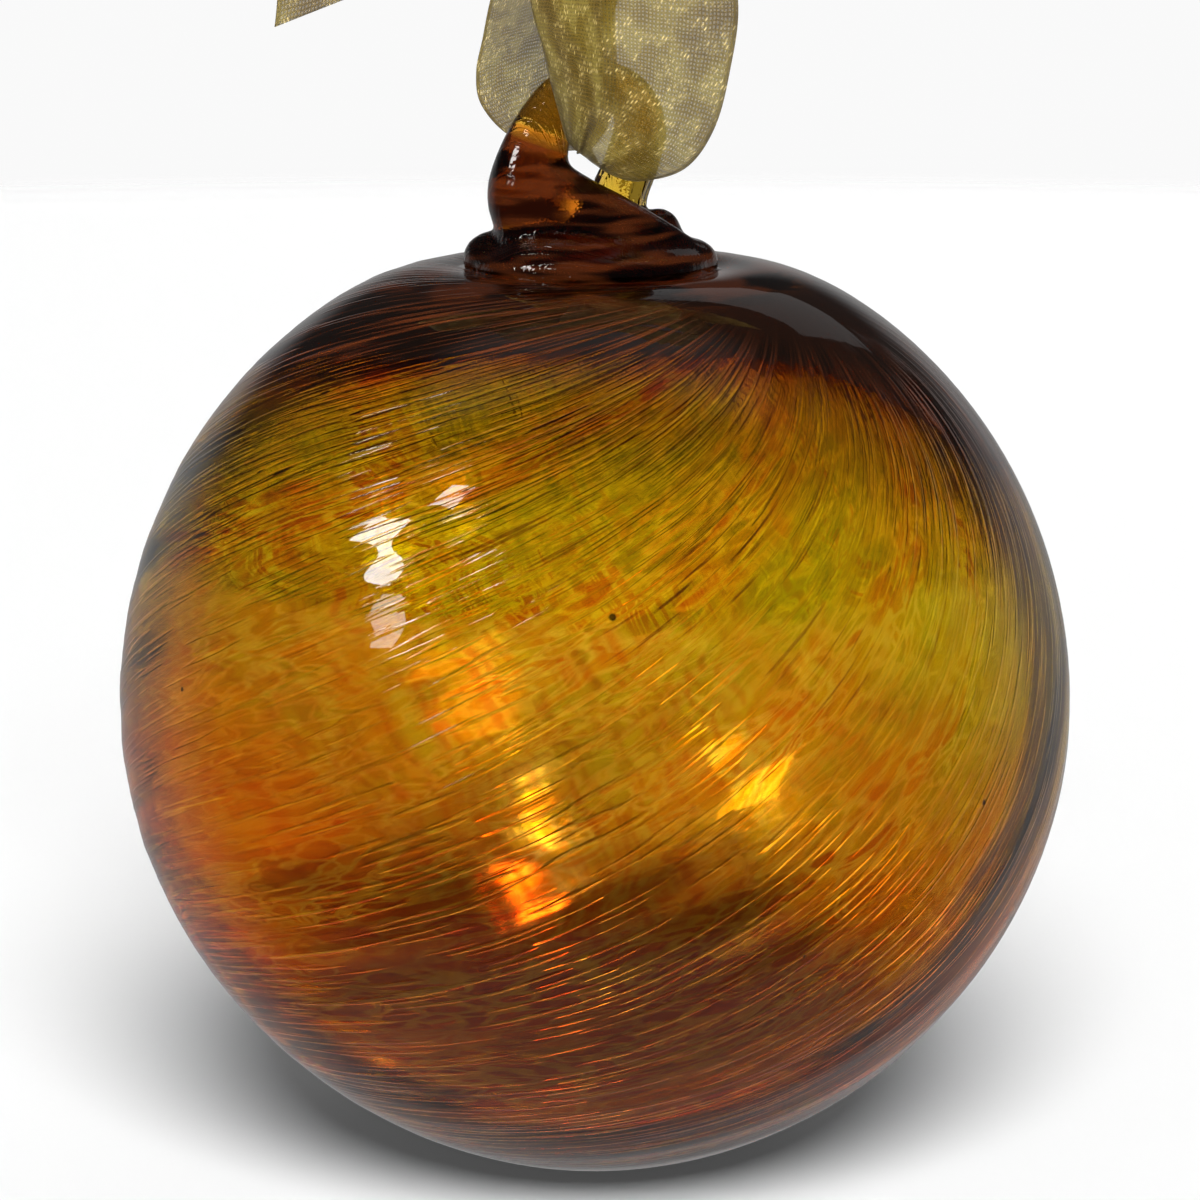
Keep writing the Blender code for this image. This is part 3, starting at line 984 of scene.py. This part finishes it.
# %% The amber glass
def amber_glass():
    """The ball's skin, the hanger's skin above the wall's top, and a clear, slightly hazy skin in the cavity.

    Where a mix is wholly one shader, the renderer skips the other. The body of the glass is a plain absorbing
    volume.
    """
    material, tree = new_material("amber_glass")
    glass = glass_numbers(tree)
    ridges = spread(tree, stretched_noise(tree, glass.swirl, 0.0), *RIDGES)
    strength = maths(tree, "MULTIPLY", glass.away_from_pole, RIDGE_STRENGTH)
    bump = add_node(tree, "ShaderNodeBump", Strength=strength, Distance=RIDGE_HEIGHT, Height=ridges)
    normal = bump.outputs["Normal"]
    on_hanger = spread(tree, glass.above_wall, 0.0, 2.0)
    outer = mixed_shaders(tree, on_hanger, ball_skin(tree, glass, normal), hanger_skin(tree, glass, normal))
    surface = mixed_shaders(tree, glass.inside, outer, clear_glass(tree, CLEAR, INNER_HAZE))
    drink = add_node(tree, "ShaderNodeVolumeAbsorption", Color=ABSORBED, Density=ABSORPTION)
    add_node(tree, "ShaderNodeOutputMaterial", Surface=surface, Volume=drink.outputs[0])
    print("amber glass:", len(tree.nodes), "nodes")
    return material


amber_ball.data.materials.clear()
amber_ball.data.materials.append(amber_glass())
amber_ball.data.update()
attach(amber_ball, "root")
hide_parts("glass_ball")

# %% [markdown]
# ## The ribbon
#
# Organza is a stiff, sheer cloth, here 22 mm wide. It is bunched where it goes through the loop, fans out in
# two bands, one before the glass and one behind it, and is tied above in a bow with two tails. Each stretch
# is a surface between two long edges: stations along it, columns across it. Simulating the cloth would find
# its own folds, but this ribbon was tied and pulled into shape by hand, so its edges are given point by
# point, and small pleats that die out away from the bunch do the rest.

# %% The ribbon's edges
RIBBON_WIDTH = 22.0 * MM
CLOTH = 0.16 * MM
STATIONS = 96
COLUMNS = 30

# Each stretch: its left and right edges as x, y and z in millimetres, and how far its middle swells along Y.
FRONT_BAND = (
    [
        (-1.9, 0.6, 106.8),
        (-1.7, -2.6, 107.4),
        (-2.8, -5.3, 108.8),
        (-3.6, -6.4, 111.6),
        (-4.4, -6.6, 114.6),
        (-5.2, -6.6, 118.1),
        (-6.5, -6.0, 123.0),
        (-6.6, -4.4, 130.0),
        (-1.5, -1.2, 141.0),
    ],
    [
        (-0.5, 0.6, 107.4),
        (-0.3, -2.6, 107.3),
        (1.1, -5.8, 105.6),
        (4.5, -8.0, 104.9),
        (9.1, -8.5, 106.2),
        (12.0, -8.0, 110.0),
        (13.6, -7.2, 115.6),
        (14.5, -5.6, 123.0),
        (12.4, -3.8, 131.0),
        (3.5, -1.2, 141.0),
    ],
    -1.8,
)
BACK_BAND = (
    [
        (-1.9, -0.9, 106.9),
        (-2.0, 2.2, 106.9),
        (-4.8, 5.0, 106.7),
        (-9.1, 5.6, 108.2),
        (-11.9, 6.0, 111.3),
        (-12.4, 6.2, 114.6),
        (-11.7, 5.8, 118.2),
        (-10.8, 5.0, 122.5),
        (-8.6, 3.6, 131.0),
        (-1.5, 0.4, 141.0),
    ],
    [
        (-0.5, -0.9, 107.5),
        (-0.9, 4.8, 109.8),
        (0.4, 6.4, 114.0),
        (1.4, 6.2, 118.0),
        (2.4, 5.2, 122.5),
        (4.6, 3.6, 131.0),
        (3.5, 0.4, 141.0),
    ],
    1.2,
)
LEFT_TAIL = (
    [
        (0.0, 0.5, 144.0),
        (-12.0, 5.0, 145.0),
        (-24.0, 6.8, 141.0),
        (-31.5, 6.0, 131.5),
        (-33.3, 5.0, 119.4),
    ],
    [
        (0.0, 0.5, 139.5),
        (-6.0, 4.4, 136.5),
        (-10.0, 6.4, 133.0),
        (-12.2, 6.0, 130.5),
        (-13.0, 5.0, 127.4),
    ],
    1.5,
)
RIGHT_TAIL = (
    [
        (2.0, 0.5, 144.0),
        (13.0, 5.0, 144.0),
        (22.0, 7.2, 140.0),
        (29.0, 6.6, 134.0),
        (33.5, 5.0, 126.5),
    ],
    [
        (2.0, 0.5, 139.5),
        (7.0, 4.4, 135.5),
        (11.0, 6.4, 131.5),
        (15.0, 6.2, 127.5),
        (18.0, 5.0, 124.5),
    ],
    1.5,
)

# %% Cloth between two edges


def cloth_body(name, middle, across, along):
    """A thin closed cloth over a middle surface.

    Each cross-section goes over one face and back under the other, half a thickness from the middle.
    The attribute weave keeps, for every corner, millimetres across and along the ribbon.
    """
    normal = unit(np.cross(np.gradient(middle, axis=0), np.gradient(middle, axis=1)))
    over = middle + 0.5 * CLOTH * normal
    under = middle - 0.5 * CLOTH * normal
    body = closed_body(name, np.concatenate([over, under[:, ::-1]], axis=1))
    places = np.stack([across, along, np.zeros_like(across)], axis=-1) / MM
    places = np.concatenate([places, places[:, ::-1]], axis=1)
    ends = np.stack([places[0].mean(axis=0), places[-1].mean(axis=0)])
    store(body, "weave", np.vstack([places.reshape(-1, 3), ends]))
    return body


PLEATS_ACROSS = 3.5
PLEAT_REACH = 0.22


def band(name, left, right, swell, pleats, start, lift=0.0):
    """A stretch of ribbon between two edges, and its length.

    The middle surface is the straight mix of the two edges, swelled along Y as a parabola across the width,
    with pleats as a cosine across the width that die out along the length. A lift moves it along Y.
    """
    share = np.linspace(0.0, 1.0, COLUMNS)[None, :]
    middle = left[:, None] * (1 - share[..., None]) + right[:, None] * share[..., None]
    along = np.linspace(0.0, 1.0, STATIONS)[:, None]
    bulge = swell * MM * 4 * share * (1 - share) * np.sin(np.pi * along)
    fold = pleats * np.cos(2 * np.pi * (PLEATS_ACROSS * share + 0.3)) * np.exp(-along / PLEAT_REACH)
    middle[..., 1] += bulge + fold * np.minimum(along / 0.05, 1.0) + lift
    step = np.linalg.norm(np.gradient(0.5 * (left + right), axis=0), axis=1)
    length = np.cumsum(step)[:, None] + start
    body = cloth_body(name, middle, share * RIBBON_WIDTH + 0 * along, length + 0 * share)
    return body, length[-1, 0] - start


def edges(points):
    """Both long edges of a stretch as smooth paths."""
    return [smooth_path(np.array(side) * MM, STATIONS) for side in points[:2]]


# %% The bow
KNOT_CENTRE = np.array([1.0, -0.5, 142.0])
KNOT_HALF_SIZES = np.array([4.2, 3.6, 4.6])
CREASE_DEPTH = 0.07
BOW_REACH = 25.0
BOW_DEPTH = 8.0
BOW_LIFT = 3.0
PINCH = 0.25


def bow_loop(name, side, start):
    """One loop of the bow, and its length.

    A band as wide as the ribbon goes out to one side and comes back in front of itself, along a flat oval. It
    is pinched at the knot, where soft pleats run out of it.
    """
    turn = np.linspace(0.06 * np.pi, 1.94 * np.pi, STATIONS)[:, None]
    open_part = np.sin(0.5 * turn)
    out = 0.5 * BOW_REACH * (1 - np.cos(turn))
    depth = BOW_DEPTH * np.sin(turn) * open_part + 1.0
    share = np.linspace(-0.5, 0.5, COLUMNS)[None, :]
    width = RIBBON_WIDTH / MM * (PINCH + (1 - PINCH) * open_part**0.7) * share
    pleat = 0.5 * np.cos(2 * np.pi * 3 * share) * np.exp(-out / 8.0)
    middle = np.stack([side * (out + 0.12 * width), depth + pleat, BOW_LIFT * open_part**2 + width], axis=-1)
    middle = (middle + KNOT_CENTRE) * MM
    step = np.linalg.norm(np.gradient(middle[:, COLUMNS // 2], axis=0), axis=1)
    length = np.cumsum(step)[:, None] + start
    body = cloth_body(name, middle, (share + 0.5) * RIBBON_WIDTH + 0 * turn, length + 0 * share)
    return body, length[-1, 0] - start


def knot(start):
    """The knot: a small cushion of cloth with creases that run round it.

    An ellipsoid whose radius is drawn in along wandering creases.
    """
    latitude, turn, shape = sphere_grid(40, 72)
    wandering = 6 * turn + 2.2 * np.sin(latitude) + 0.8 * np.sin(2 * turn)
    crease = 1.0 - CREASE_DEPTH * np.cos(wandering) ** 2 * np.cos(latitude)
    body = closed_body("knot", (shape * crease[..., None] * KNOT_HALF_SIZES + KNOT_CENTRE) * MM)
    across = latitude * 7.0 + 0 * turn
    along = start / MM + turn * 4.0 + 0 * latitude
    places = np.stack([across, along, np.zeros_like(along)], axis=-1)
    store(body, "weave", np.vstack([places.reshape(-1, 3), places[0, :1], places[-1, :1]]))
    return body


# %% Tie the ribbon
BAND_PLEATS = 0.35 * MM
TAIL_PLEATS = 0.30 * MM
FOLDED_OVER = 0.40
FOLD_START = 0.3 * MM
FOLD_LIFT = -0.5 * MM

ribbon_length = 0.0
cloths = []
for name, stretch, pleats in (
    ("front_band", FRONT_BAND, BAND_PLEATS),
    ("back_band", BACK_BAND, BAND_PLEATS),
    ("left_tail", LEFT_TAIL, TAIL_PLEATS),
    ("right_tail", RIGHT_TAIL, TAIL_PLEATS),
):
    cloth, length = band(name, *edges(stretch), stretch[2], pleats, ribbon_length)
    cloths.append(cloth)
    ribbon_length += length
    print(name, round(length / MM, 1), "mm")
for name, side in (("left_loop", -1), ("right_loop", 1)):
    cloth, length = bow_loop(name, side, ribbon_length)
    cloths.append(cloth)
    ribbon_length += length
    print(name, round(length / MM, 1), "mm")

# The left edge of the front band is folded over, and lies on the band as a second, narrower layer.
front_left, front_right = edges(FRONT_BAND)
fold_edge = front_left + FOLDED_OVER * (front_right - front_left)
folded, _ = band("folded_edge", front_left, fold_edge, FRONT_BAND[2], BAND_PLEATS, FOLD_START, FOLD_LIFT)
gold_ribbon = join(knot(ribbon_length), *cloths, folded)
gold_ribbon.name = "gold_ribbon"
print("ribbon:", round(ribbon_length / MM), "mm long,", len(gold_ribbon.data.polygons), "faces")

# %% [markdown]
# ## Gold organza
#
# Organza is a plain weave of thin, stiff, shiny threads with gaps as wide as the threads. Up close the gaps
# are holes. From a step away the cloth is see-through and glitters where a thread catches the light. Threads
# modelled one by one would take about a million faces, so a material draws them. The weave attribute is in
# millimetres: two sine waves of it make the threads, a transparent share opens the gaps, and spots in some
# cells of a slanted grid, picked at random, are the glints. Both edges are woven tighter, as a selvedge.

# %% The organza
THREAD_PITCH = 0.40
WEFT_PITCH = 0.38
SELVEDGE = 0.8
GAP_COVER = 0.50
THREAD_COVER = 0.26
EDGE_COVER = 0.8
SHINE_THROUGH = 0.4
WEFT_BEND = 0.8
CLOTH_DRIFT = (0.35, 0.65)
SHADE_PATCH_GRAIN = 0.10
SHADE_PATCH_RANGE = (0.50, 0.36)
CLOTH_ROUGHNESS = 0.38
CLOTH_SHEEN = 0.3
GLINT_CHANCE = (0.30, 0.90)
GLINT_PATCHES = (0.42, 0.58)
GLINT_GRID = (0.42, 0.70, 1.0)
GLINT_SLANT = -0.55
GLINT_NUDGE = 0.62
GLINT_SHAPE = (1.0, 0.75, 0.0)
GLINT_SIZE = (0.30, 0.14)
CLOTH_GOLD = (0.24, 0.165, 0.020, 1.0)
CLOTH_LIGHT = (0.36, 0.28, 0.06, 1.0)
CLOTH_SHADE = (0.72, 0.66, 0.66, 1.0)
GLINT = (1.0, 0.80, 0.34, 1.0)


def metal_glints(tree, across, along, drift):
    """1 in a small bright spot in some cells of a slanted grid, more of them where drift is high."""
    slanted = maths(tree, "MULTIPLY_ADD", along, GLINT_SLANT, across)
    slanted = add_node(tree, "ShaderNodeCombineXYZ", X=slanted, Y=along).outputs[0]
    grid = vector_maths(tree, "DIVIDE", slanted, GLINT_GRID)
    cell = vector_maths(tree, "FLOOR", grid)
    chance, nudge = add_node(tree, "ShaderNodeTexWhiteNoise", Vector=cell).outputs
    kind = {"data_type": "VECTOR"}
    middle = add_node(tree, "ShaderNodeMix", kind, i0=GLINT_NUDGE, i4=(0.5, 0.5, 0.0), i5=nudge).outputs[1]
    away = vector_maths(tree, "SUBTRACT", vector_maths(tree, "FRACTION", grid), middle)
    away = vector_maths(tree, "LENGTH", vector_maths(tree, "MULTIPLY", away, GLINT_SHAPE))
    shiny = maths(tree, "MULTIPLY", spread(tree, chance, *GLINT_CHANCE), spread(tree, drift, *GLINT_PATCHES))
    return maths(tree, "MULTIPLY", shiny, spread(tree, away, *GLINT_SIZE))


def gold_organza():
    """Woven threads with open gaps: gold, a little shiny, lit through from behind."""
    material, tree = new_material("gold_organza")
    weave = stored(tree, "weave")
    across, along, _ = parts(tree, weave)
    drift = noise(tree, weave, 0.35, 2.0)
    bend = maths(tree, "MULTIPLY_ADD", drift, WEFT_BEND, along)
    weft = maths(tree, "SINE", maths(tree, "MULTIPLY", bend, 2 * np.pi / WEFT_PITCH))
    warp = maths(tree, "SINE", maths(tree, "MULTIPLY", across, 2 * np.pi / THREAD_PITCH))
    threads = maths(tree, "MULTIPLY_ADD", maths(tree, "MAXIMUM", weft, warp), 0.5, 0.5)
    half_width = 0.5 * RIBBON_WIDTH / MM
    from_middle = maths(tree, "ABSOLUTE", maths(tree, "SUBTRACT", across, half_width))
    edge = spread(tree, from_middle, half_width - SELVEDGE, half_width - 0.5 * SELVEDGE)
    glint = metal_glints(tree, across, along, drift)

    colour = mixed(tree, spread(tree, drift, *CLOTH_DRIFT), CLOTH_GOLD, CLOTH_LIGHT)
    # Painted shade: soft random patches of the cloth are darkened, as where the ribbon turns away from the
    # light.
    shade_patch = spread(tree, noise(tree, weave, SHADE_PATCH_GRAIN, 0.0), *SHADE_PATCH_RANGE)
    colour = mixed(tree, shade_patch, colour, filtered(tree, colour, CLOTH_SHADE))
    colour = mixed(tree, glint, shaded(tree, edge, 0.4, colour, CLOTH_GOLD), GLINT)
    cover = maths(tree, "MULTIPLY_ADD", threads, THREAD_COVER, GAP_COVER)
    tight = maths(tree, "MULTIPLY", maths(tree, "MAXIMUM", edge, glint), EDGE_COVER)
    cover = maths(tree, "MAXIMUM", cover, tight)
    bump = add_node(tree, "ShaderNodeBump", Strength=0.6, Distance=0.08 * MM, Height=threads)
    shine = add_node(
        tree,
        "ShaderNodeBsdfPrincipled",
        Base_Color=colour,
        Roughness=CLOTH_ROUGHNESS,
        Sheen_Weight=CLOTH_SHEEN,
        Normal=bump.outputs["Normal"],
    )
    through = add_node(tree, "ShaderNodeBsdfTranslucent", Color=colour)
    cloth = mixed_shaders(tree, SHINE_THROUGH, shine.outputs[0], through.outputs[0])
    gap = add_node(tree, "ShaderNodeBsdfTransparent").outputs[0]
    add_node(tree, "ShaderNodeOutputMaterial", Surface=mixed_shaders(tree, cover, gap, cloth))
    print("gold organza:", len(tree.nodes), "nodes")
    return material


gold_ribbon.data.materials.clear()
gold_ribbon.data.materials.append(gold_organza())
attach(gold_ribbon, "root")
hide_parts("ribbon")

# %% [markdown]
# ## The studio
#
# A pale floor, a soft light from above, and a window to the left whose panes glint in the glass. Clear glass
# shows what stands around it, so the world is dark to everything but the camera itself, apart from a pale
# backdrop behind and some grey above and below. Black cloth hung round a set gives real glass its edges in
# the same way. Four bright patches glow low in the ball, perhaps where uneven glass gathers the light. The
# wall here is too even to make them, so four small lamps close behind the ball, which only the glass shows,
# stand for them. From behind, the ball's outside mirrors those lamps as small spots.

# %% The floor, and how bright the world is
FLOOR_RADIUS = 0.95
FLOOR_FADE = 0.08
FLOOR_SIDES = 96
FLOOR_DROP = 0.05 * MM
FLOOR_WHITE = (0.9, 0.9, 0.9, 1.0)
PALE = 0.95
BACKDROP = 0.30
OVERHEAD = 0.22
BELOW = 0.20
SURROUND = 0.03

# Where each part of the world starts and is full, as shares of the direction upwards or backwards.
BACKDROP_TOP = (0.30, 0.05)
BACKDROP_SIDES = (0.10, 0.70)
BELOW_START = (-0.62, -0.88)
OVERHEAD_START = (0.80, 0.93)
OVERHEAD_BACK = (-0.10, 0.15)


def floor_finish():
    """White and matt, with an edge that fades out."""
    material, tree = new_material("pale_floor")
    place = add_node(tree, "ShaderNodeTexCoord").outputs["Object"]
    white = add_node(tree, "ShaderNodeBsdfDiffuse", Color=FLOOR_WHITE).outputs[0]
    gone = add_node(tree, "ShaderNodeBsdfTransparent").outputs[0]
    edge = spread(tree, vector_maths(tree, "LENGTH", place), FLOOR_RADIUS - FLOOR_FADE, FLOOR_RADIUS)
    add_node(tree, "ShaderNodeOutputMaterial", Surface=mixed_shaders(tree, edge, white, gone))
    return material


def studio_floor():
    """A disc just under the ball."""
    turn = whole_turn(FLOOR_SIDES)
    level = np.full(FLOOR_SIDES, -FLOOR_DROP)
    rim = np.stack([FLOOR_RADIUS * np.cos(turn), FLOOR_RADIUS * np.sin(turn), level], axis=-1)
    floor = new_object("floor", rim, [list(range(FLOOR_SIDES))])
    floor.data.materials.append(floor_finish())
    floor.visible_glossy = False


# %% Lights
WHITE = (1.0, 1.0, 1.0)


def area_light(name, place, target, size, radiance, glints=True, lights=True, tint=WHITE):
    """A rectangular light at place that faces target. Its power comes from its size and the radiance wanted.

    Without glints it can't be seen in the glass, and without lights that is all it does. It throws no shadow,
    so the overhead light's shadow is the only one.
    """
    data = bpy.data.lights.new(name, "AREA")
    data.shape = "RECTANGLE"
    data.size, data.size_y = size
    data.energy = radiance * np.pi * size[0] * size[1]
    data.color = tint
    light = bpy.data.objects.new(name, data)
    back = unit(np.array(place, dtype=float) - np.array(target, dtype=float))
    side = unit(np.cross((0.0, 0.0, 1.0), back))
    top = np.cross(back, side)
    light.matrix_world = [(*column, 0.0) for column in (side, top, back)] + [(*place, 1.0)]
    data.use_shadow = False
    light.visible_camera = False
    light.visible_glossy = glints
    light.visible_transmission = glints
    light.visible_diffuse = lights
    bpy.context.scene.collection.objects.link(light)


def overhead_light(strength, width, tilt):
    """A wide soft light from above and in front, the same everywhere on the floor."""
    data = bpy.data.lights.new("overhead_light", "SUN")
    data.energy = strength
    data.angle = width
    light = bpy.data.objects.new("overhead_light", data)
    light.rotation_euler = (*tilt, 0.0)
    light.visible_glossy = False
    light.visible_transmission = False
    bpy.context.scene.collection.objects.link(light)


# %% The world
def studio_world():
    """Pale to the camera. To light and glass, a backdrop behind, grey above and below, and dark elsewhere."""
    world = bpy.data.worlds.new("studio")
    world.use_nodes = True
    tree = world.node_tree
    tree.nodes.clear()
    way = add_node(tree, "ShaderNodeTexCoord").outputs["Generated"]
    _, back, up = parts(tree, way)
    level = maths(tree, "MULTIPLY", spread(tree, up, *BACKDROP_TOP), BACKDROP)
    behind = maths(tree, "MULTIPLY", spread(tree, back, *BACKDROP_SIDES), level)
    below = maths(tree, "MULTIPLY", spread(tree, up, *BELOW_START), BELOW)
    above = maths(tree, "MULTIPLY", spread(tree, up, *OVERHEAD_START), spread(tree, back, *OVERHEAD_BACK))
    above = maths(tree, "MULTIPLY", above, OVERHEAD)
    around = maths(tree, "ADD", maths(tree, "MAXIMUM", behind, below), maths(tree, "ADD", above, SURROUND))
    seen = add_node(tree, "ShaderNodeLightPath").outputs["Is Camera Ray"]
    colour = mixed(tree, seen, around, (PALE, PALE, PALE, 1.0))
    background = add_node(tree, "ShaderNodeBackground", Color=colour)
    add_node(tree, "ShaderNodeOutputWorld", Surface=background.outputs[0])
    bpy.context.scene.world = world


# %% Set up the studio
FILL_TARGET = (0.0, 0.0, 0.08)
FILL_SIZE = (1.2, 1.2)

# Lamps that only the glass shows: name, place, what they face, width and height in metres, and radiance.
WINDOWS = (
    ("window_pane", (-0.87, -0.40, 0.77), (-0.02, -0.04, 0.073), (0.26, 0.20), 16.0),
    ("upper_pane", (-0.59, -0.47, 0.98), (-0.013, -0.04, 0.077), (0.16, 0.16), 11.0),
    ("lower_pane", (-0.89, -0.66, 0.52), (-0.02, -0.043, 0.066), (0.14, 0.22), 6.0),
    ("rear_panel", (0.27, 0.80, 0.66), (0.012, -0.02, 0.093), (0.50, 0.28), 0.22),
)
RED_GLOW = (1.0, 0.42, 0.3)
LOW_PATCHES = (
    ("low_glow_top", (-0.0064, 0.075, 0.0155), (-0.0060, 0.04, 0.0245), (0.0020, 0.0045), 10.0, WHITE),
    ("low_glow_foot", (-0.0092, 0.075, 0.0072), (-0.0087, 0.04, 0.0167), (0.0036, 0.0032), 9.0, RED_GLOW),
    ("right_glow", (0.0207, 0.075, 0.0214), (0.0195, 0.0416, 0.0295), (0.011, 0.009), 2.6, WHITE),
    ("left_glow", (-0.0166, 0.075, 0.0351), (-0.0157, 0.0468, 0.0413), (0.012, 0.009), 0.9, WHITE),
)

studio_floor()
overhead_light(strength=4.45, width=np.radians(30.0), tilt=np.radians((48.0, 4.0)))
area_light("front_fill", (-0.9, -1.4, 0.9), FILL_TARGET, FILL_SIZE, 1.2, glints=False)
area_light("rear_fill", (0.9, 1.3, 1.0), FILL_TARGET, FILL_SIZE, 0.75, glints=False)
for window in WINDOWS:
    area_light(*window, lights=False)
for *patch, tint in LOW_PATCHES:
    area_light(*patch, lights=False, tint=tint)
studio_world()
print("studio:", len(WINDOWS), "window panes and", len(LOW_PATCHES), "small lamps")

# %% [markdown]
# ## The camera
#
# A long lens half a metre away and a little above, aimed at the ball. A short lens from close by would swell
# the ball and hide its cap. Glass needs several bounces, because light meets four skins on its way through.

# %% Camera
CAMERA_DISTANCE = 0.5
CAMERA_RISE = np.radians(11.5)
AIM = (0.504 * MM, 0.0, 59.72 * MM)
FOCAL_LENGTH = 142.42

lens = bpy.data.cameras.new("camera")
lens.lens = FOCAL_LENGTH
lens.clip_start = 0.01
camera = bpy.data.objects.new("camera", lens)
back = CAMERA_DISTANCE * np.cos(CAMERA_RISE)
up = CAMERA_DISTANCE * np.sin(CAMERA_RISE)
camera.location = (AIM[0], -back, AIM[2] + up)
camera.rotation_euler = (0.5 * np.pi - CAMERA_RISE, 0.0, 0.0)
bpy.context.scene.collection.objects.link(camera)
bpy.context.scene.camera = camera
bpy.context.scene.view_settings.view_transform = "Standard"
cycles = bpy.context.scene.cycles
cycles.use_light_tree = False
cycles.max_bounces = 6
cycles.caustics_reflective = False
cycles.caustics_refractive = False

# %% The end
bpy.context.view_layer.update()
